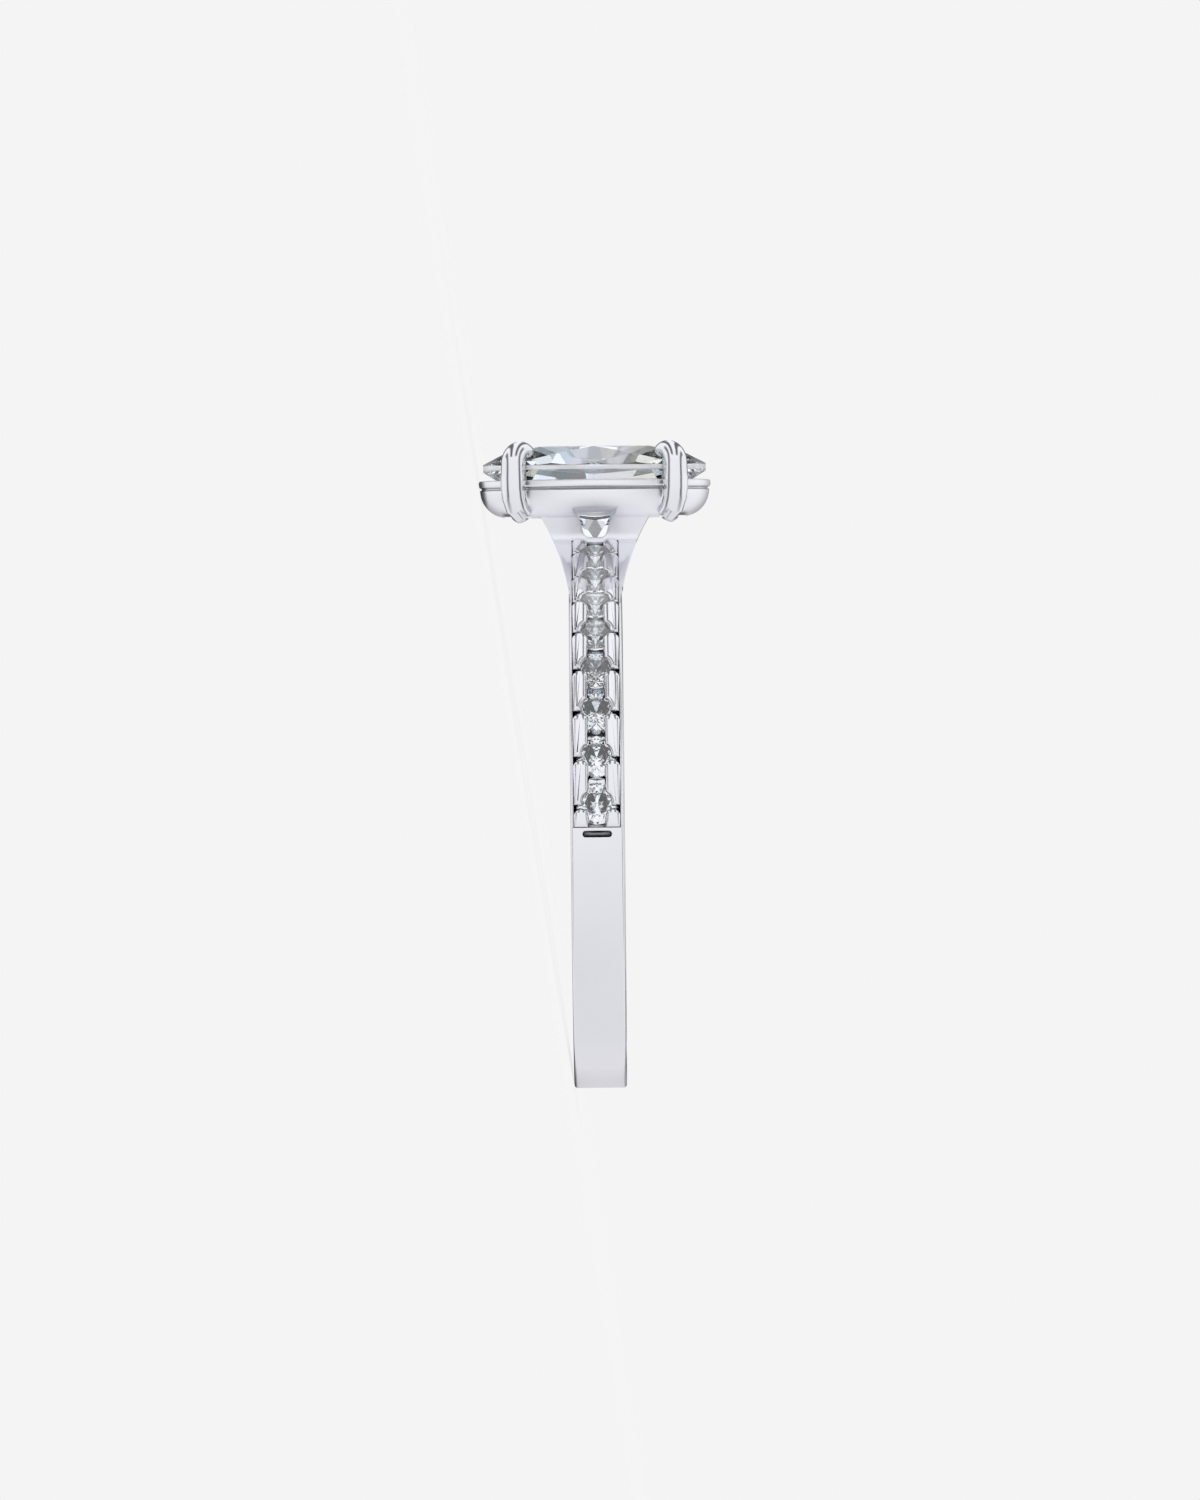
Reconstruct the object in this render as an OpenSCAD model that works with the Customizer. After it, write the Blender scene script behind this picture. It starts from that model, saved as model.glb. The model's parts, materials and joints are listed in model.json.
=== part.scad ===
// Solitaire ring with an oval stone in a four claw cup and side stones down both shoulders.
// Lengths are in millimetres. The ring is drawn with the finger axis along Z and the stone
// towards +Y, and is then laid down on its side as it rests on a table, with Z up.

/* [Band] */
// Diameter of the finger hole
finger_d = 16.9; // [16.9:0.1:16.9]
// Thickness of the band, from the finger to the outer face
band_t = 1.7; // [1.7:0.1:1.7]
// Width of the band along the finger
band_w = 2.0; // [1.95:0.05:2.05]
// Rounding of the long edges of the band
edge_r = 0.15; // [0.1:0.05:0.2]

/* [Shoulders] */
// Angle above the side of the ring at which a shoulder leaves the round band
leave_angle = 60; // [59:1:61]
// Straight length of a shoulder, up to the foot of the cup
ramp_len = 3.98; // [3.96:0.02:4]
// Radius of the curve in which a shoulder widens towards the cup
flare_r = 6.8; // [6.7:0.1:6.9]
// Radius of the hollow curve from the foot up to the rim of the cup
hollow_r = 5.0; // [4.8:0.2:5.2]

/* [Cup] */
// Length of the cup along the finger
cup_len = 8.75; // [8.7:0.05:8.75]
// Width of the cup across the finger
cup_wid = 6.7; // [6.65:0.05:6.7]
// Height of the cup from its flat underside to its rim
cup_h = 1.41; // [1.39:0.02:1.43]
// Rounding between the side of the cup and its underside
cup_corner_r = 1.05; // [1:0.05:1.1]
// Height of the narrow lip below the rim
lip_h = 0.3; // [0.25:0.05:0.35]
// How far the lip stands out from the side of the cup
lip_out = 0.05; // [0.04:0.01:0.06]

/* [Window] */
// Width of the pierced window at its top
window_top_w = 1.22; // [1.18:0.04:1.26]
// Width of the window at its rounded bottom
window_low_w = 0.6; // [0.55:0.05:0.65]
// Height of the window
window_h = 0.9; // [0.85:0.05:0.95]

/* [Centre stone] */
// Length of the oval stone along the finger
stone_len = 8.5; // [8.45:0.05:8.55]
// Width of the oval stone across the finger
stone_wid = 6.25; // [6.2:0.05:6.3]
// Height of the crown
crown_h = 0.65; // [0.6:0.05:0.7]
// Height of the girdle
girdle_h = 0.3; // [0.25:0.05:0.35]
// Depth of the pavilion
pavilion_h = 2.62; // [2.6:0.02:2.64]
// Length of the table as a share of the length of the stone
table_share = 0.68; // [0.67:0.01:0.69]

/* [Claws] */
// Diameter of a claw
claw_d = 0.92; // [0.9:0.02:0.92]
// Distance of a claw from the middle, along the finger
claw_along = 3.15; // [3.14:0.01:3.16]
// Distance of a claw from the middle, across the finger
claw_across = 2.39; // [2.38:0.01:2.4]
// Height of the top of a claw above the rim of the cup
claw_rise = 1.55; // [1.54:0.01:1.56]
// Radius in which the middle line of a claw bends over the stone
claw_bend_r = 0.46; // [0.46:0.02:0.48]

/* [Side stones] */
// Number of stones on each side
side_count = 8; // [8:1:8]
// Diameter of a side stone
side_d = 1.6; // [1.58:0.02:1.62]
// Distance from one side stone to the next
side_pitch = 1.84; // [1.83:0.01:1.85]
// Height of the first side stone above the middle of the ring
side_start = 0.76; // [0.74:0.02:0.76]
// Depth of the groove between the two rows of small claws
groove_depth = 0.28; // [0.26:0.02:0.3]
// Half the width of that groove
groove_half = 0.38; // [0.36:0.02:0.4]

/* [Hidden] */
$fn = 96;

metal_colour = "lightsteelblue";
stone_colour = "azure";
side_colour = "lightcyan";

// Clearance between a stone and the metal that holds it
gap = 0.04;
// Overlap of pieces that are fused, and of cuts past a face
over = 0.5;

// Radii of the band
inner_r = finger_d / 2;
outer_r = inner_r + band_t;
half_w = band_w / 2;

// The widening of the shoulders starts at this height and ends in the rim
flare_start = 8.0;
// The straight ramp starts this far inside the round face, so that the two cross cleanly
leave_sink = 0.05;
// The faces of the shoulders end this far inside the side of the cup
wall_inset = 0.04;
// From this far above the foot the shoulders keep within the outline of the cup
room_rise = 0.1;
// Share of the chord from foot to rim that the hollow curve may reach into the metal
hollow_share = 0.25;
// Facets of the long arcs
arc_fn = 240;

// Heights above the middle of the ring
foot = outer_r * [cos(leave_angle), sin(leave_angle)]
    + ramp_len * [-sin(leave_angle), cos(leave_angle)];
base_rise = 0.86;
cup_base = foot[1] + base_rise;
rim = cup_base + cup_h;
girdle_rise = 0.33;
girdle_low = rim + girdle_rise;
claw_top = rim + claw_rise;

// Half sizes of the cup, and the two circles that draw its oval outline
cup_a = cup_len / 2;
cup_b = cup_wid / 2;
end_r = 2.75;
end_c = cup_a - end_r;
side_k = cup_b - end_r;
side_c = (end_c * end_c - side_k * side_k) / (2 * side_k);
long_r = cup_b + side_c;
end_angle = atan2(side_c, end_c);
// The ends of the oval are drawn this much smaller, so that the seams are clean small steps
end_step = 0.01;
// Narrow slope between the lip and the rim
lip_edge = 0.08;

// Window: its top above the foot, and the rounding of its lower corners
window_rise = 1.02;
window_corner = 0.25;
window_flat_share = 0.6;

// Hole from the finger up to the point of the centre stone
light_low_r = 0.62;
light_top_r = 0.75;
light_rise = 0.3;

// Claws
claw_r = claw_d / 2;
claw_turn = 46;
claw_bend = 105;
claw_low = cup_base + claw_r;

// Side stones: their own heights, and the metal round them
side_r = side_d / 2;
side_crown = 0.26;
side_girdle = 0.08;
side_pavilion = 0.62;
side_table_share = 0.58;
side_proud = 0.04;
side_open_r = side_r - gap;
// Height of a side stone's girdle above the outer face
side_level = side_proud - side_crown - side_girdle;
groove_start = -1.1;
groove_past = 0.1;
scallop_r = 0.3;
scallop_depth = 0.12;

// Brilliant cut: how far the points between the star facets are pulled in, and where the
// long lower facets end
star_pull = 0.97;
low_share = 0.24;

// The ring lies on the lower end of the cup and on the lower edge of the band below the
// finger. Both are round, so each touches the table below the middle of its rounding.
lie_y = (rim - cup_h + cup_corner_r) + (outer_r - edge_r);
lie_z = (cup_a - cup_corner_r) - (half_w - edge_r);
rest_tilt = atan2(lie_z, lie_y)
    + asin((cup_corner_r - edge_r) / sqrt(lie_y * lie_y + lie_z * lie_z));
rest_lift = (outer_r - edge_r) * sin(rest_tilt)
    + (half_w - edge_r) * cos(rest_tilt) + edge_r;
// Middle of the ring's length as it lies, which is brought to the origin
crest_along = claw_along - claw_bend_r * sin(claw_turn);
top_y = (claw_top - claw_r) * cos(rest_tilt) + crest_along * sin(rest_tilt) + claw_r;
low_y = (outer_r - edge_r) * cos(rest_tilt) + (half_w - edge_r) * sin(rest_tilt) + edge_r;
rest_shift = -(top_y - low_y) / 2;

// Place and direction along the line on which the side stones are set. The distance s is
// measured along the outer face from the side of the ring.
leave_s = outer_r * leave_angle * PI / 180;
function face_angle(s) = min(s, leave_s) / outer_r * 180 / PI;
function face_point(s) =
    let (a = face_angle(s), past = max(s - leave_s, 0))
    outer_r * [cos(a), sin(a)] + past * [-sin(a), cos(a)];
first_s = asin(side_start / outer_r) * PI / 180 * outer_r;
function stone_s(i) = first_s + i * side_pitch;
// Angle above the side at which the round bar section gives way to the shoulder. It is
// halfway between two side stones.
joint_stone = 3.5;
joint_angle = face_angle(stone_s(joint_stone));

// A brilliant cut in an oval outline. The stone's axis is Z and its girdle starts at z = 0.
// All heights follow from the round cut of radius 1, so that each facet stays flat.
function dir(i) = [cos(i * 22.5), sin(i * 22.5)];
function brilliant_levels(table, crown, pavilion) =
    let (
        kite_slope = crown / (1 - table),
        star_r = (1 + table) / 2 / cos(22.5) * star_pull,
        star_z = kite_slope * (1 - star_r * cos(22.5))
    )
    [star_r, star_z, low_share, -pavilion * (1 - low_share * cos(22.5))];

// Height on the plane through three points at the place (x, y)
function plane_z(p, q, r, xy) =
    let (n = cross(q - p, r - p))
    p[2] - (n[0] * (xy[0] - p[0]) + n[1] * (xy[1] - p[1])) / n[2];

module brilliant(half_x, half_y, table, crown, girdle, pavilion, steps) {
    levels = brilliant_levels(table, crown, pavilion);
    count = 16 * steps;
    table_ring = [for (i = [0:7]) [table * cos(45 * i), table * sin(45 * i), girdle + crown]];
    star_ring = [for (i = [0:7])
        [levels[0] * dir(2 * i + 1)[0], levels[0] * dir(2 * i + 1)[1], girdle + levels[1]]];
    low_ring = [for (i = [0:7])
        [levels[2] * dir(2 * i + 1)[0], levels[2] * dir(2 * i + 1)[1], levels[3]]];
    // The main points of the girdle, and those between them
    function corner(i, z) = [dir(i)[0], dir(i)[1], z];
    function rim_xy(j) = [cos(360 * j / count), sin(360 * j / count)];
    function facet(j) = floor((j % count) / steps);
    function star_of(f) = star_ring[floor(f / 2) % 8];
    function low_of(f) = low_ring[floor(f / 2) % 8];
    top_rim = [for (j = [0:count - 1]) [rim_xy(j)[0], rim_xy(j)[1],
        plane_z(star_of(facet(j)), corner(facet(j), girdle), corner(facet(j) + 1, girdle),
            rim_xy(j))]];
    low_rim = [for (j = [0:count - 1]) [rim_xy(j)[0], rim_xy(j)[1],
        plane_z(low_of(facet(j)), corner(facet(j), 0), corner(facet(j) + 1, 0), rim_xy(j))]];
    middle = [[0, 0, girdle + crown], [0, 0, -pavilion]];
    round_points = concat(table_ring, star_ring, top_rim, low_rim, low_ring, middle);
    points = [for (p = round_points) [p[0] * half_x, p[1] * half_y, p[2]]];
    star_at = 8;
    top_at = 16;
    low_at = top_at + count;
    low_star_at = low_at + count;
    table_mid = low_star_at + 8;
    culet = table_mid + 1;
    function next(i, n) = (i + 1) % n;
    faces = concat(
        [for (i = [0:7]) [table_mid, next(i, 8), i]],
        [for (i = [0:7]) [star_at + i, i, next(i, 8)]],
        [for (i = [0:7]) [top_at + 2 * i * steps, i, star_at + i]],
        [for (i = [0:7]) [top_at + 2 * i * steps, star_at + (i + 7) % 8, i]],
        [for (j = [0:count - 1])
            [star_at + floor(j / steps / 2), top_at + next(j, count), top_at + j]],
        [for (j = [0:count - 1]) [top_at + j, top_at + next(j, count), low_at + j]],
        [for (j = [0:count - 1]) [top_at + next(j, count), low_at + next(j, count), low_at + j]],
        [for (j = [0:count - 1])
            [low_star_at + floor(j / steps / 2), low_at + j, low_at + next(j, count)]],
        [for (i = [0:7]) [low_at + 2 * i * steps, low_star_at + i, culet]],
        [for (i = [0:7]) [low_at + 2 * i * steps, culet, low_star_at + (i + 7) % 8]]
    );
    polyhedron(points, faces);
}

// Lays the upright ring down as it rests
module lie_down() {
    translate([0, rest_shift, rest_lift]) rotate([rest_tilt, 0, 0]) children();
}

// Turns a thing drawn with its axis along Z so that its axis points up from the finger
module stand_up() {
    rotate([-90, 0, 0]) children();
}

// Puts a thing, drawn with its axis along Z, on the outer face at distance s. Its X then
// runs along the finger, and its Y along the band.
module on_face(s, side) {
    p = face_point(s);
    a = side > 0 ? face_angle(s) : 180 - face_angle(s);
    translate([side * p[0], p[1], 0]) rotate([0, 0, a]) rotate([0, 90, 0]) children();
}

// The round part of the band, with rounded edges, below the joint with the shoulders
module bar_section() {
    translate([inner_r + edge_r, -half_w + edge_r])
        square([band_t - 2 * edge_r, band_w - 2 * edge_r]);
    translate([inner_r, -half_w + edge_r]) square([band_t, band_w - 2 * edge_r]);
    translate([inner_r + edge_r, -half_w]) square([band_t - 2 * edge_r, band_w]);
    for (r = [inner_r + edge_r, outer_r - edge_r], z = [-half_w + edge_r, half_w - edge_r])
        translate([r, z]) circle(edge_r);
}

module round_band() {
    rotate([0, 0, 180 - joint_angle])
        rotate_extrude(angle = 180 + 2 * joint_angle, $fn = 180) bar_section();
}

// Front outline of the shoulders: the top of the round band, and over it the block between
// the two straight ramps, which widens again in a hollow curve up to the rim
module hollow(side) {
    wall = [cup_b - wall_inset, rim - 2 * lip_h];
    chord = wall - foot;
    long = norm(chord);
    out = [chord[1], -chord[0]] / long;
    middle = (wall + foot) / 2 + out * sqrt(hollow_r * hollow_r - long * long / 4);
    reach = hollow_share * long * out;
    mirror([side < 0 ? 1 : 0, 0]) intersection() {
        translate(middle) circle(hollow_r, $fn = arc_fn);
        polygon([foot, wall, wall - reach, foot - reach]);
    }
}

module front_outline() {
    leave = (outer_r - leave_sink) * [cos(leave_angle), sin(leave_angle)];
    wall = [cup_b - wall_inset, rim - 2 * lip_h];
    low = [cos(joint_angle), sin(joint_angle)];
    difference() {
        union() {
            intersection() {
                circle(outer_r, $fn = arc_fn);
                polygon([[0, 0], 2 * outer_r * low, [2 * outer_r * low[0], 2 * outer_r],
                    [-2 * outer_r * low[0], 2 * outer_r], 2 * outer_r * [-low[0], low[1]]]);
            }
            polygon([[-leave[0], leave[1]], [leave[0], leave[1]], foot, wall,
                [-wall[0], wall[1]], [-foot[0], foot[1]]]);
        }
        hollow(1);
        hollow(-1);
    }
}

// Side outline of the shoulders, drawn with X along the finger: straight, then flaring
module side_outline() {
    difference() {
        translate([-cup_a, 0]) square([cup_len, rim - 1.5 * lip_h]);
        for (side = [-1, 1]) {
            translate([side * (half_w + flare_r), flare_start]) circle(flare_r, $fn = arc_fn);
            translate([side > 0 ? half_w : -half_w - cup_a, -over])
                square([cup_a, flare_start + over]);
        }
    }
}

// Over the foot the shoulders keep within the long sides of the cup's oval outline
module shoulder_room() {
    low = foot[1] + room_rise;
    stand_up() intersection() {
        long_side(1, low - over);
        long_side(-1, low - over);
    }
    translate([-2 * outer_r, 0, -cup_a]) cube([4 * outer_r, low, cup_len]);
}

module long_side(side, low) {
    translate([side * side_c, 0, low])
        cylinder(r = long_r - wall_inset, h = rim - low, $fn = arc_fn);
}

module shoulders() {
    intersection() {
        linear_extrude(cup_len, center = true) front_outline();
        rotate([0, -90, 0]) linear_extrude(3 * outer_r, center = true) side_outline();
        shoulder_room();
    }
}

// A solid with the cup's oval outline: two whole turns at its ends and two wedges between
// them. The section of its outer side is given as [distance in from the outline, height]
// from the bottom to the top.
module oval_solid(profile) {
    for (side = [-1, 1]) {
        translate([0, side * end_c, 0])
            rotate_extrude($fn = 120) section(profile, end_r - end_step);
        translate([-side * side_c, 0, 0])
            rotate([0, 0, (side > 0 ? 0 : 180) - 90 + end_angle])
                rotate_extrude(angle = 180 - 2 * end_angle, $fn = arc_fn)
                    section(profile, long_r);
    }
}

module section(profile, r) {
    low = profile[0][1];
    high = profile[len(profile) - 1][1];
    polygon(concat([[0, low]], [for (p = profile) [r - p[0], p[1]]], [[0, high]]));
}

// The cup, drawn with its axis along Z: a bowl with a flat underside and a narrow lip
module cup() {
    corner_steps = 8;
    oval_solid(concat(
        [for (i = [0:corner_steps]) let (a = 90 * i / corner_steps)
            [cup_corner_r * (1 - sin(a)), cup_base + cup_corner_r * (1 - cos(a))]],
        [[0, rim - lip_h], [-lip_out, rim - lip_h + lip_out], [-lip_out, rim - lip_edge],
            [lip_edge - lip_out, rim]]
    ));
}

// A claw: a round wire up the side of the cup that bends over the stone and ends round
module claw() {
    bend_z = claw_top - claw_r - claw_bend_r;
    translate([0, 0, claw_low]) cylinder(r = claw_r, h = bend_z - claw_low);
    translate([0, 0, claw_low]) mirror([0, 0, 1]) half_ball(claw_r);
    translate([-claw_bend_r, 0, bend_z]) rotate([90, 0, 0]) {
        rotate_extrude(angle = claw_bend) translate([claw_bend_r, 0]) circle(claw_r);
        rotate([0, 0, claw_bend]) translate([claw_bend_r, 0, 0]) rotate([-90, 0, 0])
            half_ball(claw_r);
    }
}

module half_ball(r) {
    rotate_extrude() intersection() {
        circle(r);
        square(2 * r);
    }
}

module claws() {
    for (x = [-1, 1], y = [-1, 1])
        mirror([x < 0 ? 1 : 0, 0, 0]) mirror([0, y < 0 ? 1 : 0, 0])
            translate([claw_across, claw_along, 0]) rotate([0, 0, claw_turn]) claw();
}

// The window through the shoulders under the cup, drawn with X along the finger
module window_cut() {
    top = foot[1] + window_rise;
    low = top - window_h;
    half = window_low_w / 2;
    flat = half * window_flat_share;
    rotate([0, -90, 0]) linear_extrude(2 * cup_b, center = true)
        polygon([[-window_top_w / 2, top], [window_top_w / 2, top], [half, low + window_corner],
            [flat, low], [-flat, low], [-half, low + window_corner]]);
}

// The hole from the finger up to the point of the stone
module light_hole() {
    stand_up() cylinder(r1 = light_low_r, r2 = light_top_r, h = foot[1] + light_rise);
}

// The groove between the two rows of small claws, along the middle of a shoulder
module groove(side) {
    floor_r = outer_r - groove_depth;
    mirror([side < 0 ? 1 : 0, 0, 0]) {
        rotate([0, 0, groove_start])
            rotate_extrude(angle = leave_angle - groove_start, $fn = 180)
                translate([floor_r, -groove_half])
                    square([groove_depth + over, 2 * groove_half]);
        rotate([0, 0, leave_angle]) translate([floor_r, 0, -groove_half])
            cube([groove_depth + over, ramp_len + groove_past, 2 * groove_half]);
    }
}

// Room for a side stone: a cone for its lower side, a step for its girdle, and over that an
// opening a little narrower than the stone, so that the metal left beside it holds it
module side_seat() {
    r = side_r + gap;
    rotate_extrude($fn = 48) polygon([
        [0, -side_pavilion - 2 * gap],
        [r, 0],
        [r, side_girdle + gap / 2],
        [side_open_r, side_girdle + gap / 2 + (r - side_open_r)],
        [side_open_r, over],
        [0, over]
    ]);
}

module side_seats(side) {
    for (i = [0:side_count - 1])
        on_face(stone_s(i), side) translate([0, 0, side_level]) side_seat();
}

// Dips across both edges of a shoulder beside each side stone
module scallops(side) {
    for (i = [0:side_count - 1])
        on_face(stone_s(i), side) translate([0, 0, scallop_r - scallop_depth])
            rotate([0, 90, 0]) cylinder(r = scallop_r, h = band_w + over, center = true, $fn = 32);
}

module centre_cut(clear, table) {
    stand_up() translate([0, 0, girdle_low - clear / 2])
        brilliant(stone_wid / 2 + clear, stone_len / 2 + clear, table,
            crown_h + clear / 2, girdle_h + clear, pavilion_h + 2 * clear, 1);
}

module cast_ring() {
    color(metal_colour) lie_down() difference() {
        union() {
            difference() {
                union() {
                    round_band();
                    shoulders();
                }
                for (side = [-1, 1]) groove(side);
                for (side = [-1, 1]) scallops(side);
            }
            stand_up() cup();
            stand_up() claws();
        }
        cylinder(r = inner_r, h = 4 * band_w, center = true, $fn = arc_fn);
        centre_cut(3 * gap, table_share);
        light_hole();
        window_cut();
        for (side = [-1, 1]) side_seats(side);
    }
}

module centre_stone() {
    color(stone_colour) lie_down() stand_up() translate([0, 0, girdle_low])
        brilliant(stone_wid / 2, stone_len / 2, table_share, crown_h, girdle_h, pavilion_h, 4);
}

module side_stone(i, side) {
    color(side_colour) lie_down() on_face(stone_s(i), side) translate([0, 0, side_level])
        brilliant(side_r, side_r, side_table_share, side_crown, side_girdle, side_pavilion, 1);
}

cast_ring();
centre_stone();
for (i = [1:side_count]) {
    side_stone(i - 1, 1);
    side_stone(i - 1, -1);
}
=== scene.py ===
"""Polished metal, cut stones, soft studio and camera for a solitaire ring.

The metal is modelled upright in millimetres, with the finger axis along Z and the centre stone
towards +Y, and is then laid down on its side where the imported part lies.
"""

import json
import math

import bpy
from mathutils import Matrix, Quaternion, Vector


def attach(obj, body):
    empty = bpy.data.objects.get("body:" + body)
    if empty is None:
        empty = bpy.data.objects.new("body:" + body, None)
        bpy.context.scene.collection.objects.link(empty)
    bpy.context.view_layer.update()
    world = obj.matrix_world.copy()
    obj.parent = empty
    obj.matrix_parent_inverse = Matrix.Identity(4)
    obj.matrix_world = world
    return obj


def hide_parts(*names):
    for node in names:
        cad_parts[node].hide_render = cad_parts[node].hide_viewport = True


bl_info = {
    "name": "Solitaire Ring",
    "version": (1, 0, 0),
    "blender": (4, 5, 0),
    "location": "View3D > Sidebar > Ring",
    "description": "Models the cast metal of a solitaire ring and finishes its stones",
    "category": "Add Mesh",
}

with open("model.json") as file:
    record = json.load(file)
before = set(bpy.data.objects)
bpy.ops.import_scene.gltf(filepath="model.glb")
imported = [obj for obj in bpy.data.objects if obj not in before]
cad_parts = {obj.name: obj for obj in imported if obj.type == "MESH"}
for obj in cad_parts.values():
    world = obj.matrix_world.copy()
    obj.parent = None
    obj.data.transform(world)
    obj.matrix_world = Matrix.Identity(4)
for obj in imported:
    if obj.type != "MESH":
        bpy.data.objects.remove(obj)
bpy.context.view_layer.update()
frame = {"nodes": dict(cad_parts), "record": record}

# The finger hole says where the upright ring's middle and finger axis are in the frame
MM = 0.001
HOLE = frame["record"]["mounts"][0]
FINGER_AXIS = Vector(HOLE["axis"]).normalized()
TILT = math.atan2(-FINGER_AXIS.y, FINGER_AXIS.z)
LAY_DOWN = (
    Matrix.Translation(Vector(HOLE["pos_m"]))
    @ Matrix.Rotation(TILT, 4, "X")
    @ Matrix.Diagonal((MM, MM, MM, 1))
)
# Axes of the upright ring as they lie: across it, up to the stone, and along the finger
RING_X, RING_Y, RING_Z = (Vector(LAY_DOWN.col[i][:3]).normalized() for i in range(3))
SIDES = (1, -1)
# Side stones on each side
STONES = 8

# The centre stone, in millimetres: half its width and length, and the heights of its point and
# its widest part
STONE_HALF_WIDE, STONE_HALF_LONG = 3.125, 4.25
STONE_POINT, STONE_WIDEST = 10.76, 13.38
# Room left between the centre stone and the claws that bend over it
STONE_CLEAR = 0.015
# The window where it is straight: its height, its width at the top and at the bottom, the
# rounding of its corners, and how far its top lies over the foot of the cup
WINDOW_HIGH, WINDOW_TOP, WINDOW_LOW = 0.94, 1.3, 0.78
WINDOW_TOP_ROUND, WINDOW_LOW_ROUND = 0.05, 0.17
WINDOW_OVER_FOOT = 1.02
# The slot across the band: its width along the finger, height and rounding, the depth of its
# cutter, half of which is under the face, and how far it lies below the channel
SLOT_WIDE, SLOT_HIGH, SLOT_ROUND, SLOT_CUTTER = 1.1, 0.25, 0.11, 1.0
SLOT_BELOW = 0.24
# The seat of a side stone: its radius at the top, its depth, and how far it lies under the face
SEAT_R, SEAT_DEEP, SEAT_UNDER = 0.94, 0.82, 0.18


class RingBandSizes(bpy.types.PropertyGroup):
    """Sizes of the band and its shoulders, in millimetres"""

    inner: bpy.props.FloatProperty(
        name="Inner radius", description="Radius of the finger hole", default=HOLE["dims"]["r_mm"]
    )
    thickness: bpy.props.FloatProperty(
        name="Thickness", description="Thickness of the band", default=1.7
    )
    width: bpy.props.FloatProperty(name="Width", description="Width along the finger", default=2.0)
    edge: bpy.props.FloatProperty(
        name="Edge", description="Rounding of the long edges", default=0.12
    )
    leave: bpy.props.FloatProperty(
        name="Leave angle",
        description="Where a shoulder leaves the round band, above the side of the ring",
        default=math.radians(60),
        subtype="ANGLE",
    )
    ramp: bpy.props.FloatProperty(
        name="Ramp", description="Straight length of a shoulder", default=3.98
    )
    flare: bpy.props.FloatProperty(name="Flare", description="Radius of the widening", default=8.6)
    flare_start: bpy.props.FloatProperty(
        name="Flare start", description="Height where it widens", default=7.3
    )
    hollow: bpy.props.FloatProperty(
        name="Hollow", description="Radius of the curve over the foot", default=5.0
    )


class RingCupSizes(bpy.types.PropertyGroup):
    """Sizes of the cup and of the claws that hold the centre stone, in millimetres"""

    length: bpy.props.FloatProperty(
        name="Length", description="Length along the finger", default=8.75
    )
    width: bpy.props.FloatProperty(name="Width", description="Width across the finger", default=6.7)
    base: bpy.props.FloatProperty(name="Base", description="Height of the underside", default=11.64)
    rim: bpy.props.FloatProperty(name="Rim", description="Height of the rim", default=13.05)
    corner: bpy.props.FloatProperty(
        name="Corner", description="Rounding of the lower edge", default=1.05
    )
    lip: bpy.props.FloatProperty(name="Lip", description="Height of the narrow lip", default=0.3)
    lip_out: bpy.props.FloatProperty(
        name="Lip out", description="How far the lip stands out", default=0.05
    )
    claw: bpy.props.FloatProperty(
        name="Claw", description="Diameter of a claw at the rim", default=1.0
    )
    claw_top: bpy.props.FloatProperty(
        name="Claw top", description="Height of a claw", default=14.57
    )
    claw_along: bpy.props.FloatProperty(
        name="Claw along", description="Place along the finger", default=3.07
    )
    claw_across: bpy.props.FloatProperty(
        name="Claw across", description="Place across it", default=2.42
    )


class RingPaveSizes(bpy.types.PropertyGroup):
    """Sizes of the side stones' channel and of their small claws, in millimetres"""

    first: bpy.props.FloatProperty(
        name="First", description="Height of the first stone", default=0.76
    )
    pitch: bpy.props.FloatProperty(
        name="Pitch", description="From one stone to the next", default=1.84
    )
    channel: bpy.props.FloatProperty(
        name="Channel", description="Half width between the rails", default=0.89
    )
    depth: bpy.props.FloatProperty(name="Depth", description="Depth of the channel", default=0.3)
    low: bpy.props.FloatProperty(
        name="Low end", description="Lower end of the channel", default=-0.16
    )
    groove: bpy.props.FloatProperty(
        name="Groove", description="Half width under the stones", default=0.42
    )
    groove_depth: bpy.props.FloatProperty(
        name="Groove depth", description="Depth under the stones", default=0.62
    )
    claw_wide: bpy.props.FloatProperty(
        name="Claw width", description="Width of a small claw", default=0.6
    )
    claw_off: bpy.props.FloatProperty(
        name="Claw off", description="From the middle to a small claw", default=0.6
    )


class RingColours(bpy.types.PropertyGroup):
    """Colours of the metal, the stones and the studio"""

    metal: bpy.props.FloatVectorProperty(
        name="Metal", description="White gold", subtype="COLOR", default=(0.84, 0.84, 0.87)
    )
    stone: bpy.props.FloatVectorProperty(
        name="Stone", description="Clear stone", subtype="COLOR", default=(0.97, 0.985, 1.0)
    )
    floor: bpy.props.FloatVectorProperty(
        name="Floor", description="Pale floor", subtype="COLOR", default=(0.9, 0.9, 0.9)
    )
    backdrop: bpy.props.FloatVectorProperty(
        name="Backdrop",
        description="Studio behind the ring",
        subtype="COLOR",
        default=(0.905, 0.905, 0.905),
    )


def select_only(obj):
    """Selects one object alone and makes it the active one"""
    bpy.ops.object.select_all(action="DESELECT")
    obj.select_set(True)
    bpy.context.view_layer.objects.active = obj


def start(add, name, **settings):
    """Adds a primitive with nothing else selected, names it and opens it for editing"""
    bpy.ops.object.select_all(action="DESELECT")
    add(**settings)
    obj = bpy.context.object
    obj.name = obj.data.name = name
    bpy.ops.object.mode_set(mode="EDIT")
    bpy.ops.mesh.select_all(action="SELECT")
    return obj


def close():
    """Turns all faces outwards and leaves edit mode"""
    bpy.ops.mesh.select_all(action="SELECT")
    bpy.ops.mesh.remove_doubles(threshold=1e-5)
    bpy.ops.mesh.normals_make_consistent(inside=False)
    bpy.ops.object.mode_set(mode="OBJECT")
    return bpy.context.object


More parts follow.
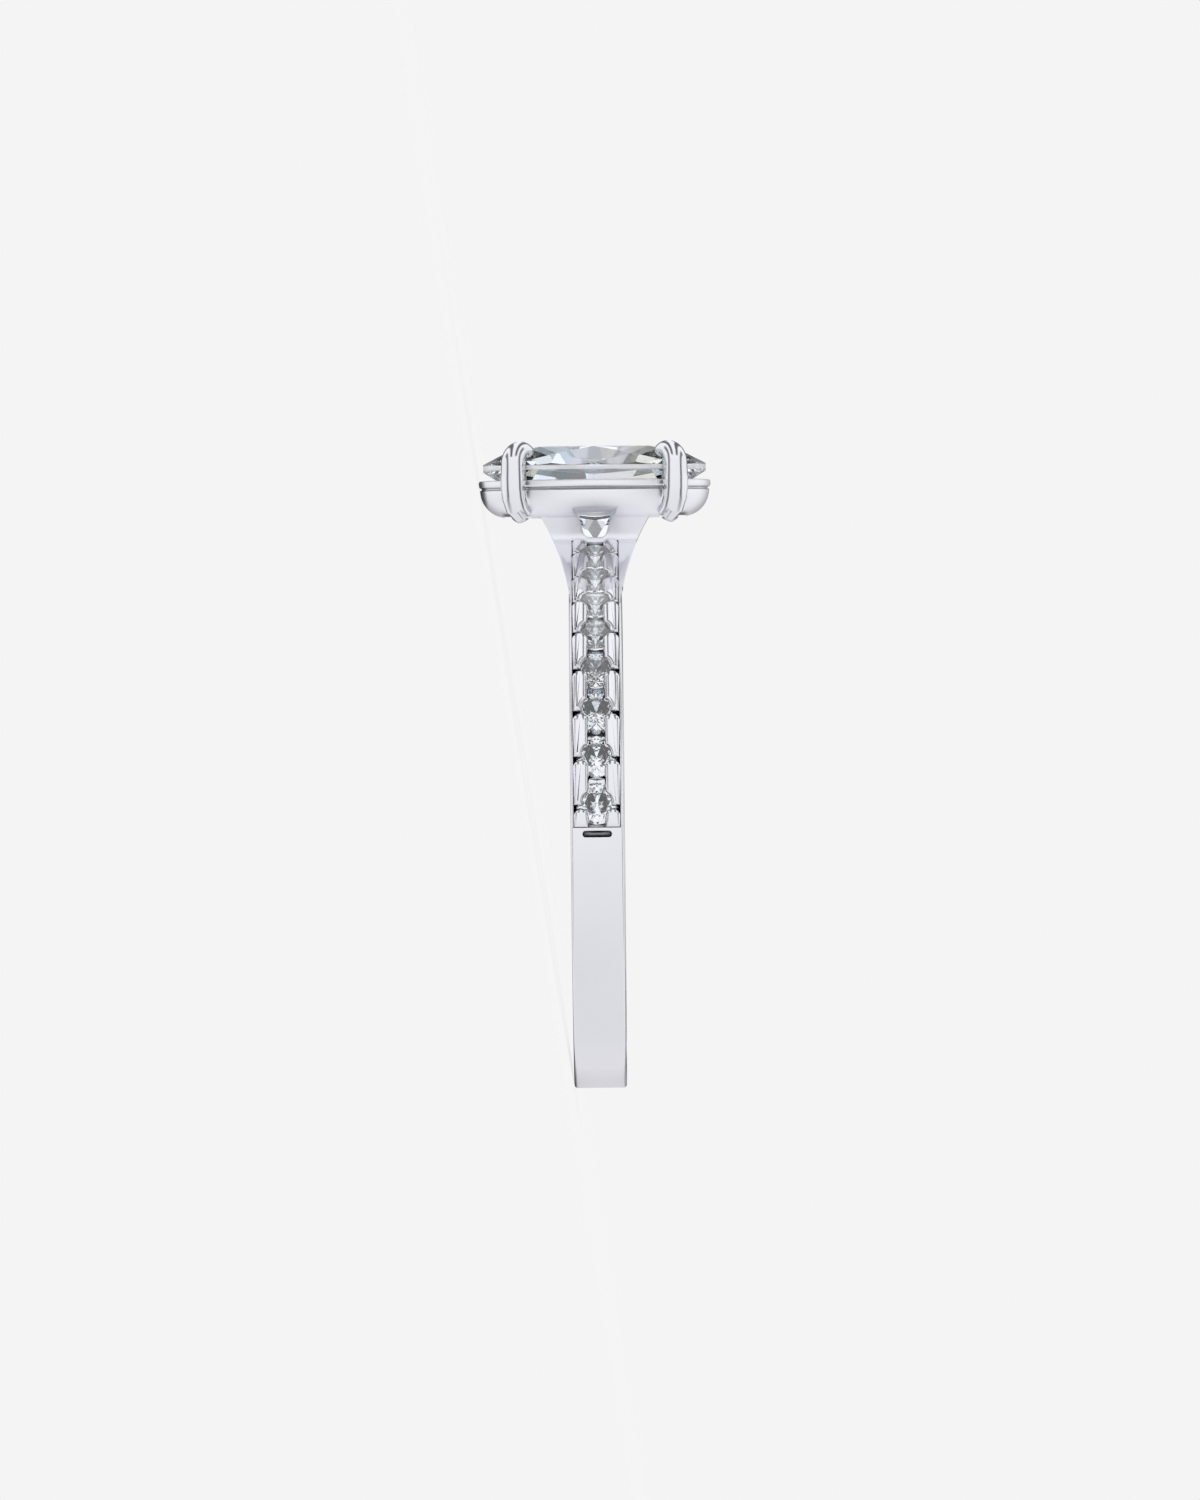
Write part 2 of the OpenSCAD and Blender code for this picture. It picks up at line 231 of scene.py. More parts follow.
def turn(angle, axis, about=(0, 0, 0)):
    """Turns what is selected in edit mode. Without a window the operator turns the other way."""
    bpy.ops.transform.rotate(value=-angle, orient_axis=axis, center_override=about)


def modify(obj, kind, **settings):
    """Adds a modifier, sets it up and applies it"""
    select_only(obj)
    modifier = obj.modifiers.new(kind, kind)
    for key, value in settings.items():
        setattr(modifier, key, value)
    bpy.ops.object.modifier_apply(modifier=modifier.name)
    return obj


def combine(obj, other, operation):
    """Applies a boolean of two closed meshes and drops the second"""
    modify(obj, "BOOLEAN", operation=operation, object=other, solver="MANIFOLD")
    bpy.data.objects.remove(other)
    if not obj.data.polygons:
        raise RuntimeError(f"nothing is left of {obj.name}")
    return obj


def place(obj, matrix):
    """Puts an object by a matrix and applies it, so that the place is in its mesh"""
    select_only(obj)
    obj.matrix_world = matrix
    bpy.ops.object.transform_apply(location=True, rotation=True, scale=True)
    if matrix.determinant() < 0:
        bpy.ops.object.mode_set(mode="EDIT")
        close()
    return obj


def copy_to(obj, matrix):
    """A copy with its own mesh, placed by a matrix"""
    select_only(obj)
    bpy.ops.object.duplicate()
    return place(bpy.context.object, matrix)


STAND = Matrix.Rotation(-math.pi / 2, 4, "X")
MIRROR_X = Matrix.Diagonal((-1, 1, 1, 1))
MIRROR_Z = Matrix.Diagonal((1, 1, -1, 1))


def loft(name, rings, segments):
    """A skin over oval rings given as (half X, half Y, height), closed at both ends"""
    wide, deep, height = rings[0]
    obj = start(
        bpy.ops.mesh.primitive_circle_add, name, vertices=segments, radius=1, location=(0, 0, 0)
    )
    bpy.ops.transform.resize(value=(wide, deep, 1), center_override=(0, 0, 0))
    bpy.ops.transform.translate(value=(0, 0, height))
    for next_wide, next_deep, next_height in rings[1:]:
        bpy.ops.mesh.extrude_region_move(
            TRANSFORM_OT_translate={"value": (0, 0, next_height - height)}
        )
        bpy.ops.transform.resize(
            value=(next_wide / wide, next_deep / deep, 1), center_override=(0, 0, next_height)
        )
        wide, deep, height = next_wide, next_deep, next_height
    bpy.ops.mesh.select_all(action="SELECT")
    bpy.ops.mesh.fill_holes(sides=0)
    close()
    return obj


def sweep(name, stations, segments):
    """A round bar through stations given as (place, turn about Y, radius), closed at both ends"""
    centre, angle, radius = stations[0]
    obj = start(
        bpy.ops.mesh.primitive_circle_add, name, vertices=segments, radius=radius,
        location=(0, 0, 0),
    )
    bpy.ops.transform.translate(value=centre)
    turn(angle, "Y", centre)
    for next_centre, next_angle, next_radius in stations[1:]:
        step = Vector(next_centre) - Vector(centre)
        bpy.ops.mesh.extrude_region_move(TRANSFORM_OT_translate={"value": step})
        turn(next_angle - angle, "Y", next_centre)
        bpy.ops.transform.resize(value=(next_radius / radius,) * 3, center_override=next_centre)
        centre, angle, radius = next_centre, next_angle, next_radius
    bpy.ops.mesh.select_all(action="SELECT")
    bpy.ops.mesh.fill_holes(sides=0)
    close()
    return obj


def box(name, low, high):
    """A block between two corners"""
    middle = [(a + b) / 2 for a, b in zip(low, high)]
    size = [b - a for a, b in zip(low, high)]
    start(bpy.ops.mesh.primitive_cube_add, name, size=1, location=(0, 0, 0))
    bpy.ops.transform.resize(value=size, center_override=(0, 0, 0))
    bpy.ops.transform.translate(value=middle)
    return close()


def sizes():
    """The sizes of the band, the cup and the side stones' claws"""
    scene = bpy.context.scene
    return scene.ring_band, scene.ring_cup, scene.ring_pave


def foot_of(band):
    """Foot of the cup, where the straight ramp of a shoulder ends"""
    outer = band.inner + band.thickness
    across, up = math.cos(band.leave), math.sin(band.leave)
    return Vector((outer * across - band.ramp * up, outer * up + band.ramp * across))


def on_face(band, s, side):
    """Place on the outer face at distance s from the side: Z out of it, Y along it"""
    outer = band.inner + band.thickness
    angle = min(s / outer, band.leave)
    past = max(s - outer * band.leave, 0)
    x = outer * math.cos(angle) - past * math.sin(angle)
    y = outer * math.sin(angle) + past * math.cos(angle)
    out = Vector((math.cos(angle), math.sin(angle), 0))
    along = Vector((-math.sin(angle), math.cos(angle), 0))
    across = along.cross(out)
    matrix = Matrix((
        (across.x, along.x, out.x, x),
        (across.y, along.y, out.y, y),
        (across.z, along.z, out.z, 0),
        (0, 0, 0, 1),
    ))
    return matrix if side > 0 else MIRROR_X @ matrix


def stone_place(band, pave, i):
    """Distance of a side stone's middle along the outer face"""
    outer = band.inner + band.thickness
    return math.asin(pave.first / outer) * outer + i * pave.pitch


def make_band(band):
    """The round bar of the whole ring, with rounded long edges"""
    middle = band.inner + band.thickness / 2
    start(bpy.ops.mesh.primitive_plane_add, "band", size=1, location=(0, 0, 0))
    bpy.ops.transform.resize(value=(band.thickness, band.width, 1), center_override=(0, 0, 0))
    turn(math.pi / 2, "X")
    bpy.ops.transform.translate(value=(middle, 0, 0))
    bpy.ops.mesh.bevel(offset=band.edge, offset_type="OFFSET", segments=5, affect="VERTICES")
    bpy.ops.mesh.select_all(action="SELECT")
    bpy.ops.mesh.delete(type="ONLY_FACE")
    bpy.ops.mesh.select_all(action="SELECT")
    bpy.ops.mesh.spin(steps=320, angle=2 * math.pi, center=(0, 0, 0), axis=(0, 0, 1))
    return close()


def make_shoulders(band, cup):
    """The block between the two ramps, which grows out of the band and widens towards the cup"""
    outer = band.inner + band.thickness
    half_long = cup.length / 2
    # How far the block and its ramps start under the outer face, and the block over the finger
    block_under, ramp_under, over_finger = 0.01, 0.02, 0.3
    block = start(
        bpy.ops.mesh.primitive_cylinder_add, "shoulders", vertices=320,
        radius=outer - block_under, depth=cup.length,
    )
    bpy.ops.mesh.bisect(
        plane_co=(0, band.inner * 0.5, 0), plane_no=(0, -1, 0), use_fill=True, clear_outer=True
    )
    close()
    start(
        bpy.ops.mesh.primitive_cylinder_add, "finger", vertices=256,
        radius=band.inner + over_finger, depth=2 * cup.length,
    )
    combine(block, close(), "DIFFERENCE")
    foot = foot_of(band)
    leave = (outer - ramp_under) * Vector((math.cos(band.leave), math.sin(band.leave)))
    ramp = start(bpy.ops.mesh.primitive_plane_add, "ramp", size=2, location=(0, 0, 0))
    bpy.ops.transform.resize(value=(leave.x, half_long, 1), center_override=(0, 0, 0))
    bpy.ops.transform.translate(value=(0, 0, leave.y))
    bpy.ops.mesh.extrude_region_move(TRANSFORM_OT_translate={"value": (0, 0, foot.y - leave.y)})
    bpy.ops.transform.resize(value=(foot.x / leave.x, 1, 1), center_override=(0, 0, foot.y))
    close()
    place(ramp, STAND)
    combine(block, ramp, "UNION")
    combine(block, make_neck(band, cup, foot), "UNION")
    reach = 3 * outer
    for side in SIDES:
        start(
            bpy.ops.mesh.primitive_cylinder_add, "flare cut", vertices=512, radius=band.flare,
            depth=reach,
        )
        turn(math.pi / 2, "Y")
        half_wide = band.width / 2 - band.edge
        bpy.ops.transform.translate(value=(0, band.flare_start, side * (half_wide + band.flare)))
        combine(block, close(), "DIFFERENCE")
        low = side * half_wide
        high = side * (half_long + 1)
        side_cut = box(
            "side cut",
            (-reach / 2, -1, min(low, high)),
            (reach / 2, band.flare_start, max(low, high)),
        )
        combine(block, side_cut, "DIFFERENCE")
    return block


def make_neck(band, cup, foot):
    """The hollow wall from the foot up to the lip, as round as the long side of the cup"""
    wall_in, under_lip = 0.02, 0.03
    wall = Vector((cup.width / 2 - wall_in, cup.rim - cup.lip - under_lip))
    chord = wall - foot
    out = Vector((chord.y, -chord.x)).normalized()
    centre = (wall + foot) / 2 + out * math.sqrt(band.hollow ** 2 - chord.length_squared / 4)
    # Half lengths of the oval at the lip, and at the foot, where the wall is as good as flat
    round_long, flat_long = 4.23, 10.0
    steps = 24
    curve = []
    for i in range(steps + 1):
        y = foot.y + (wall.y - foot.y) * i / steps
        curve.append(Vector((centre.x - math.sqrt(band.hollow ** 2 - (y - centre.y) ** 2), y)))
    # A soft turn leaves the ramp below the foot and joins the hollow curve above it
    joined, turn_steps, turn_below, turn_under = 4, 8, 0.36, 0.01
    ramp_up = Vector((-math.sin(band.leave), math.cos(band.leave)))
    begin = foot - ramp_up * turn_below
    # The first ring lies inside the shoulders
    inside, inside_below = 0.9, 0.6
    rings = [(foot.x * inside, flat_long, foot.y - inside_below)]
    for i in range(turn_steps):
        share = i / turn_steps
        corner = begin * (1 - share) ** 2
        corner += foot * 2 * share * (1 - share)
        corner += curve[joined] * share ** 2
        rings.append((corner.x - turn_under, flat_long, corner.y))
    for i in range(joined, steps + 1):
        long = round_long + (flat_long - round_long) * (1 - i / steps) ** 2
        rings.append((curve[i].x, long, curve[i].y))
    return place(loft("neck", rings, 256), STAND)


def make_cup(cup):
    """The oval cup as a full solid, with a narrow lip and a rounded lower edge"""
    half_x, half_y = cup.width / 2, cup.length / 2
    steps = 12
    rings = []
    for i in range(steps + 1):
        angle = math.pi / 2 * i / steps
        inset = cup.corner * (1 - math.sin(angle))
        height = cup.base + cup.corner * (1 - math.cos(angle))
        rings.append((half_x - inset, half_y - inset, height))
    lip = cup.rim - cup.lip
    # A narrow groove under the lip, and the lip with its rounded edges
    for grow, height in (
        (0, lip - 0.09),
        (-0.06, lip - 0.06),
        (-0.06, lip),
        (cup.lip_out * 0.5, lip + 0.05),
        (cup.lip_out, lip + 0.1),
        (cup.lip_out, cup.rim - 0.08),
        (cup.lip_out - 0.025, cup.rim - 0.02),
        (cup.lip_out - 0.08, cup.rim),
    ):
        rings.append((half_x + grow, half_y + grow, height))
    return place(loft("cup", rings, 192), STAND)


def make_cavity(cup):
    """Room for the centre stone, and the hole under it down to the finger"""
    clear = 0.09
    rounding = 0.06
    # The hole starts inside the finger hole and widens a little up to over the stone's point
    hole_from, hole_to, hole_low, hole_high = 8.0, STONE_POINT + 0.45, 0.6, 0.66
    rings = [(hole_low, hole_low, hole_from), (hole_high, hole_high, hole_to)]
    for height in (cup.base - 0.2, cup.rim - 0.05):
        share = (height - STONE_POINT) / (STONE_WIDEST - STONE_POINT)
        rings.append((STONE_HALF_WIDE * share + clear, STONE_HALF_LONG * share + clear, height))
    wide, deep = rings[-1][:2]
    for height in (cup.rim + 0.01, cup.rim + 1):
        rings.append((wide + rounding, deep + rounding, height))
    return place(loft("cavity", rings, 128), STAND)


def make_window(band):
    """The pierced window through both shoulders: wide at the top, round at the bottom"""
    centre = foot_of(band).y + WINDOW_OVER_FOOT - WINDOW_HIGH / 2
    window = start(bpy.ops.mesh.primitive_plane_add, "window", size=1, location=(0, 0, 0))
    bpy.ops.transform.resize(value=(WINDOW_TOP, WINDOW_HIGH, 1), center_override=(0, 0, 0))
    pick(window, lambda vertex: vertex.co.y < 0)
    bpy.ops.transform.resize(value=(WINDOW_LOW / WINDOW_TOP, 1, 1), center_override=(0, 0, 0))
    bpy.ops.mesh.bevel(
        offset=WINDOW_LOW_ROUND, offset_type="OFFSET", segments=4, affect="VERTICES"
    )
    pick(window, lambda vertex: vertex.co.y > WINDOW_HIGH * 0.45)
    bpy.ops.mesh.bevel(
        offset=WINDOW_TOP_ROUND, offset_type="OFFSET", segments=2, affect="VERTICES"
    )
    bpy.ops.mesh.select_all(action="SELECT")
    # It is straight through the middle of the ring and widens to a mouth on each side
    mouth, mouth_deep, straight = 1.55, 2.4, 3.2
    middle = (0, centre, 0)
    bpy.ops.transform.translate(value=(0, centre, -mouth_deep - straight / 2))
    bpy.ops.transform.resize(value=(mouth, mouth, 1), center_override=middle)
    for step, scale in ((mouth_deep, 1 / mouth), (straight, 1), (mouth_deep, mouth)):
        bpy.ops.mesh.extrude_region_move(TRANSFORM_OT_translate={"value": (0, 0, step)})
        bpy.ops.transform.resize(value=(scale, scale, 1), center_override=middle)
    bpy.ops.mesh.select_all(action="SELECT")
    turn(math.pi / 2, "Y")
    return close()


def make_channel(band, half_wide, depth, low):
    """A channel along the right shoulder, from a low end up to the window"""
    outer = band.inner + band.thickness
    # How far the cutter stands out of the face, and how far the channel ends before the foot
    out, short = 0.6, 0.14
    begin = low / outer
    start(bpy.ops.mesh.primitive_plane_add, "channel", size=1, location=(0, 0, 0))
    bpy.ops.transform.resize(value=(depth + out, 2 * half_wide, 1), center_override=(0, 0, 0))
    turn(math.pi / 2, "X")
    bpy.ops.transform.translate(value=(outer + (out - depth) / 2, 0, 0))
    turn(begin, "Z")
    bpy.ops.mesh.spin(steps=60, angle=band.leave - begin, center=(0, 0, 0), axis=(0, 0, -1))
    ahead = Vector((-math.sin(band.leave), math.cos(band.leave), 0)) * (band.ramp - short)
    bpy.ops.mesh.extrude_region_move(TRANSFORM_OT_translate={"value": ahead})
    return close()


def make_slot():
    """The small rounded slot across the band under the lowest side stone, drawn on the face"""
    slot = start(bpy.ops.mesh.primitive_cube_add, "slot", size=1, location=(0, 0, 0))
    size = (SLOT_WIDE, SLOT_HIGH, SLOT_CUTTER)
    bpy.ops.transform.resize(value=size, center_override=(0, 0, 0))
    bpy.ops.object.mode_set(mode="OBJECT")
    return modify(slot, "BEVEL", width=SLOT_ROUND, segments=4)


def make_seat():
    """Room under one side stone, drawn with the face at height 0"""
    start(
        bpy.ops.mesh.primitive_cone_add, "seat", vertices=40, radius1=0, radius2=SEAT_R,
        depth=SEAT_DEEP, location=(0, 0, 0),
    )
    bpy.ops.transform.translate(value=(0, 0, -SEAT_DEEP / 2 - SEAT_UNDER))
    return close()


def pick(obj, test):
    """In edit mode, selects the vertices that pass the test"""
    bpy.ops.mesh.select_mode(type="VERT")
    bpy.ops.mesh.select_all(action="DESELECT")
    bpy.ops.object.mode_set(mode="OBJECT")
    for vertex in obj.data.vertices:
        vertex.select = test(vertex)
    bpy.ops.object.mode_set(mode="EDIT")


def join(parts, name):
    """Makes one object of several, without changing their surfaces"""
    bpy.ops.object.select_all(action="DESELECT")
    for part in parts:
        part.select_set(True)
    bpy.context.view_layer.objects.active = parts[0]
    bpy.ops.object.join()
    obj = bpy.context.object
    obj.name = obj.data.name = name
    return obj


def stone_room(name, clear):
    """A merged copy of a CAD stone, a little larger, upright in millimetres"""
    select_only(frame["nodes"][name])
    bpy.ops.object.duplicate()
    room = bpy.context.object
    room.name = room.data.name = name + " room"
    bpy.ops.object.mode_set(mode="EDIT")
    bpy.ops.mesh.select_all(action="SELECT")
    bpy.ops.mesh.remove_doubles(threshold=1e-8)
    bpy.ops.object.mode_set(mode="OBJECT")
    place(room, LAY_DOWN.inverted())
    low, high = (Vector(room.bound_box[i]) for i in (0, 6))
    middle = (low + high) / 2
    grow = [1 + 2 * clear / (b - a) for a, b in zip(low, high)]
    bpy.ops.object.mode_set(mode="EDIT")
    bpy.ops.mesh.select_all(action="SELECT")
    bpy.ops.transform.resize(value=grow, center_override=middle)
    bpy.ops.object.mode_set(mode="OBJECT")
    return room


def make_claw(cup):
    """A tapering claw that rises out of the cup's wall and bends over the stone towards -X"""
    thick = cup.claw / 2
    stations = []
    # From the foot in the cup's wall to over the rim: place, lean in degrees, share of the radius
    for x, height, lean, share in (
        (-0.48, cup.base + 0.1, 42, 0.8),
        (-0.21, cup.base + 0.36, 30, 0.94),
        (-0.06, cup.base + 0.75, 12, 0.98),
        (-0.01, cup.base + 1.1, 3, 1.0),
        (0, cup.rim + 0.05, 0, 1.0),
        (0, cup.rim + 0.45, 0, 0.96),
    ):
        stations.append(((x, 0, height), math.radians(lean), thick * share))
    bend_r = 0.46
    bend_z = cup.claw_top - bend_r - thick * 0.8
    bend = math.radians(112)
    steps = 14
    for i in range(steps + 1):
        share = i / steps
        angle = bend * share
        radius = thick * (0.95 - 0.33 * share ** 1.3)
        x = -bend_r + bend_r * math.cos(angle)
        stations.append(((x, 0, bend_z + bend_r * math.sin(angle)), -angle, radius))
    tip, lean, radius = stations[-1]
    ahead = Vector((-math.sin(bend), 0, math.cos(bend)))
    # The rounded end stops a little short of a point
    end, end_steps = math.radians(84), 5
    for i in range(1, end_steps + 1):
        angle = end * i / end_steps
        centre = Vector(tip) + ahead * radius * math.sin(angle)
        stations.append((tuple(centre), lean, radius * math.cos(angle)))
    return sweep("claw", stations, 32)


def make_side_claw(pave, length, scoop):
    """A small claw with Y along the face: an arch above, hollowed at its foot by a stone"""
    high, arch, top_round, sunk, lean = 0.5, 0.29, 0.2, 0.41, math.radians(4)
    # How far the middle of the stone that hollows it lies over its lower end
    stone_up = 0.1
    claw = start(bpy.ops.mesh.primitive_plane_add, "side_claw", size=1, location=(0, 0, 0))
    bpy.ops.transform.resize(value=(pave.claw_wide, length, 1), center_override=(0, 0, 0))
    pick(claw, lambda vertex: vertex.co.y > 0)
    bpy.ops.mesh.bevel(offset=arch, offset_type="OFFSET", segments=7, affect="VERTICES")
    bpy.ops.mesh.select_all(action="SELECT")
    bpy.ops.mesh.extrude_region_move(TRANSFORM_OT_translate={"value": (0, 0, high)})
    bpy.ops.object.mode_set(mode="OBJECT")
    if scoop:
        start(
            bpy.ops.mesh.primitive_cylinder_add, "scoop", vertices=96, radius=scoop, depth=2,
            location=(0, 0, 0),
        )
        bpy.ops.transform.translate(value=(-pave.claw_off, -length / 2 + stone_up, 0))
        combine(claw, close(), "DIFFERENCE")
    select_only(claw)
    bpy.ops.object.mode_set(mode="EDIT")
    pick(claw, lambda vertex: vertex.co.z > high * 0.8)
    bpy.ops.mesh.bevel(offset=top_round, offset_type="OFFSET", segments=6, affect="EDGES")
    bpy.ops.mesh.select_all(action="SELECT")
    bpy.ops.transform.translate(value=(0, 0, -sunk))
    turn(lean, "X")
    return close()


class Value:
    """A socket that adds Math nodes when it is worked with"""

    def __init__(self, look, socket):
        self.look = look
        self.socket = socket

    def math(self, operation, *others):
        inputs = dict(enumerate((self, *others)))
        return self.look.value("ShaderNodeMath", inputs, operation=operation)

    def reflected(self, operation, other):
        return self.look.value("ShaderNodeMath", {0: other, 1: self}, operation=operation)

    def __add__(self, other):
        return self.math("ADD", other)

    def __sub__(self, other):
        return self.math("SUBTRACT", other)

    def __mul__(self, other):
        return self.math("MULTIPLY", other)

    def __truediv__(self, other):
        return self.math("DIVIDE", other)

    def __rsub__(self, other):
        return self.reflected("SUBTRACT", other)

    __radd__ = __add__
    __rmul__ = __mul__


class Look:
    """Builds the nodes of one material or of the world"""

    def __init__(self, owner):
        owner.use_nodes = True
        self.owner = owner
        self.tree = owner.node_tree
        self.tree.nodes.clear()

    def node(self, kind, inputs=(), **settings):
        """A node with its settings made first, and then the values or links of its sockets"""
        node = self.tree.nodes.new(kind)
        for key, value in settings.items():
            setattr(node, key, value)
        for key, value in dict(inputs).items():
            if isinstance(value, Value):
                self.tree.links.new(value.socket, node.inputs[key])
            elif isinstance(value, bpy.types.Node):
                self.tree.links.new(value.outputs[0], node.inputs[key])
            else:
                node.inputs[key].default_value = value
        return node

    def value(self, kind, inputs=(), output=0, **settings):
        """One output of a new node, to work with"""
        return Value(self, self.node(kind, inputs, **settings).outputs[output])

    def mix(self, share, first, second):
        """A colour between two colours"""
        inputs = {0: share, 6: first, 7: second}
        return self.value("ShaderNodeMix", inputs, output=2, data_type="RGBA")

    def step(self, value, low, high):
        """0 below low, 1 above high and smooth between them"""
        return self.value(
            "ShaderNodeMapRange",
            {"Value": value, "From Min": low, "From Max": high},
            interpolation_type="SMOOTHSTEP",
        )

    def between(self, value, rise, fall):
        """1 between a rise and a fall, each given by where it starts and ends, and 0 outside"""
        return self.step(value, *rise) * (1 - self.step(value, *fall))

    def along(self, vector, direction):
        """How far a vector reaches in one direction"""
        inputs = {0: vector, 1: direction}
        settings = {"output": "Value", "operation": "DOT_PRODUCT"}
        return self.value("ShaderNodeVectorMath", inputs, **settings)


def rgba(colour, share=1.0):
    """A colour for a socket, made darker or lighter by a share"""
    return (*(min(c * share, 1.0) for c in colour), 1.0)


def upright(look, where):
    """How far a place lies across the ring, up to the stone and along the finger, in metres"""
    middle = Vector(HOLE["pos_m"])
    return [look.along(where, axis) - middle.dot(axis) for axis in (RING_X, RING_Y, RING_Z)]


def metal_look(colour):
    """Polished white gold: soft wear, fine polishing marks, painted shade in its crevices and in
    the slot, and painted light that makes the cup's long sides and ends paler
    """
    look = Look(bpy.data.materials.new("White gold"))
    where = look.value("ShaderNodeTexCoord", output="Object")
    across, up, along = upright(look, where)
    aside = along.math("ABSOLUTE")

    # Wear, which is strongest at the bottom of the band, and polishing marks
    wear = look.value("ShaderNodeTexNoise", {"Vector": where, "Scale": 420.0, "Detail": 5.0})
    fine = look.value("ShaderNodeTexNoise", {"Vector": where, "Scale": 5200.0, "Detail": 3.0})
    stretched = look.value(
        "ShaderNodeMapping", {"Vector": where, "Scale": (1500.0, 1500.0, 60000.0)}
    )
    marks = look.value("ShaderNodeTexNoise", {"Vector": stretched, "Scale": 1.0, "Detail": 2.0})
    worn = 1 - look.step(up, -0.0099, -0.0086)

    # Painted shade: crevices are painted dark where ambient occlusion finds them, but not in the
    # cup, on the foot of the neck or seen through a stone
    room = across * across / 0.003 ** 2 + along * along / 0.0041 ** 2
    in_cup = (1 - look.step(room, 0.9, 1.0)) * look.step(up, 0.0112, 0.0115)
    on_foot = look.between(up, (0.0102, 0.0104), (0.0116, 0.0118))
    on_foot = on_foot * look.between(aside, (0.0009, 0.00095), (0.0021, 0.0022))
    through = look.value("ShaderNodeLightPath", output="Is Transmission Ray")
    near = look.value("ShaderNodeAmbientOcclusion", {"Distance": 0.0003}, output="AO", samples=6)
    painted_crevice_shade = (1 - look.step(near, 0.1, 0.75)) * (1 - in_cup) * (1 - through) * (1 - on_foot)

    # Painted shade: the bottom of the slot is painted dark, on the outer face alone
    slot_at, slot_half_high, slot_half_wide = -0.0004, 0.00013, 0.00056
    from_slot = up - slot_at
    slot = from_slot * from_slot / slot_half_high ** 2 + along * along / slot_half_wide ** 2
    radius = across * across + up * up
    slot = (1 - look.step(slot, 0.85, 1.05)) * look.step(radius, 0.0096 ** 2, 0.0097 ** 2)

    # Painted light: the long sides and the ends of the cup are painted paler than the rest, and
    # their satin finish is rougher
    neck = look.between(up, (0.0106, 0.0109), (0.0131, 0.0133))
    satin_and_painted_light = neck * (1 - look.step(along * along / 0.0026 ** 2, 0.8, 1.0))
    ends = neck * look.step(aside, 0.0033, 0.0036)

    tone = look.mix(wear, rgba(colour, 0.97), rgba(colour, 1.03))
    # Painted light: paler base colour on the cup's long sides and ends
    tone = look.mix(satin_and_painted_light + ends, tone, rgba(colour, 1.15))
    # Painted shade: crevices and the bottom of the slot are painted near black
    tone = look.mix(painted_crevice_shade + slot, tone, rgba((0.08, 0.08, 0.09)))
    rough = 0.05 + wear * 0.05 + marks * 0.02 + satin_and_painted_light * 0.4 + ends * 0.35 + worn * 0.3
    soft = look.value("ShaderNodeBevel", {"Radius": 0.00006})
    bump = look.value(
        "ShaderNodeBump",
        {"Height": marks * 0.6 + fine * 0.4, "Normal": soft, "Strength": 0.02, "Distance": 0.00001},
    )
    shader = look.node(
        "ShaderNodeBsdfPrincipled",
        {"Base Color": tone, "Metallic": 1.0, "Roughness": rough, "Normal": bump},
    )
    look.node("ShaderNodeOutputMaterial", {"Surface": shader})
    return look.owner


def clear_stone(look, grain, tone, ior, lit, glow):
    """Clear cut stone of one tone, with a painted glow standing in for its inner reflections where
    it is lit
    """
    return look.node(
        "ShaderNodeBsdfPrincipled",
        {
            "Base Color": tone,
            "Roughness": grain * 0.01,
            "IOR": ior,
            "Transmission Weight": 1.0,
            "Emission Color": look.mix(lit, rgba((0, 0, 0)), rgba(glow)),
            "Emission Strength": 1.0,
        },
    )


def start_stone(name):
    """A stone's look, with its fine grain and with where a place lies in the upright ring"""
    look = Look(bpy.data.materials.new(name))
    where = look.value("ShaderNodeTexCoord", output="Object")
    grain = look.value("ShaderNodeTexNoise", {"Vector": where, "Scale": 9000.0, "Detail": 2.0})
    return look, grain, upright(look, where)


def centre_stone_look(colour):
    """The centre stone: bluish and olive parts as painted reflections, ends that glow paler as
    painted light, and a frosted girdle
    """
    look, grain, place_in_ring = start_stone("Centre stone")
    height, along = place_in_ring[1:]
    # Painted reflection: bluish and olive tints where the surroundings would show in its facets
    blue = look.between(along, (-0.0024, -0.0021), (-0.0009, -0.0006))
    olive = look.between(along, (0.0012, 0.0015), (0.0023, 0.0026))
    tone = look.mix(blue, rgba(colour), rgba((0.86, 0.95, 1.0)))
    tone = look.mix(olive, tone, rgba((0.93, 0.92, 0.76)))
    # Painted light: the ends of the stone glow paler
    ends = look.step(along.math("ABSOLUTE"), 0.0034, 0.004)
    clear = clear_stone(look, grain, tone, 1.65, ends, (0.12, 0.125, 0.13))
    frosted = look.node(
        "ShaderNodeBsdfPrincipled",
        {"Base Color": rgba((0.93, 0.93, 0.95)), "Roughness": 0.3 + grain * 0.2},
    )
    girdle = look.between(height, (0.01344, 0.01345), (0.01361, 0.01362))
    shader = look.node("ShaderNodeMixShader", {0: girdle * 0.7, 1: clear, 2: frosted})
    look.node("ShaderNodeOutputMaterial", {"Surface": shader})
    return look.owner


def side_stone_look(colour):
    """The side stones, with a painted glow that is a little stronger the higher they sit"""
    look, grain, place_in_ring = start_stone("Side stone")
    height = place_in_ring[1]
    # Painted light: the higher side stones glow more
    high = look.step(height.math("ABSOLUTE"), 0.004, 0.0095)
    shader = clear_stone(look, grain, rgba(colour), 2.1, high, (0.045, 0.045, 0.044))
    look.node("ShaderNodeOutputMaterial", {"Surface": shader})
    return look.owner


def finish_piece(obj, material):
    """Gives a piece its finish, smooth shading and its place in the frame"""
    select_only(obj)
    obj.data.materials.clear()
    obj.data.materials.append(material)
    bpy.ops.object.shade_smooth_by_angle(angle=math.radians(32))
    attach(obj, "root")


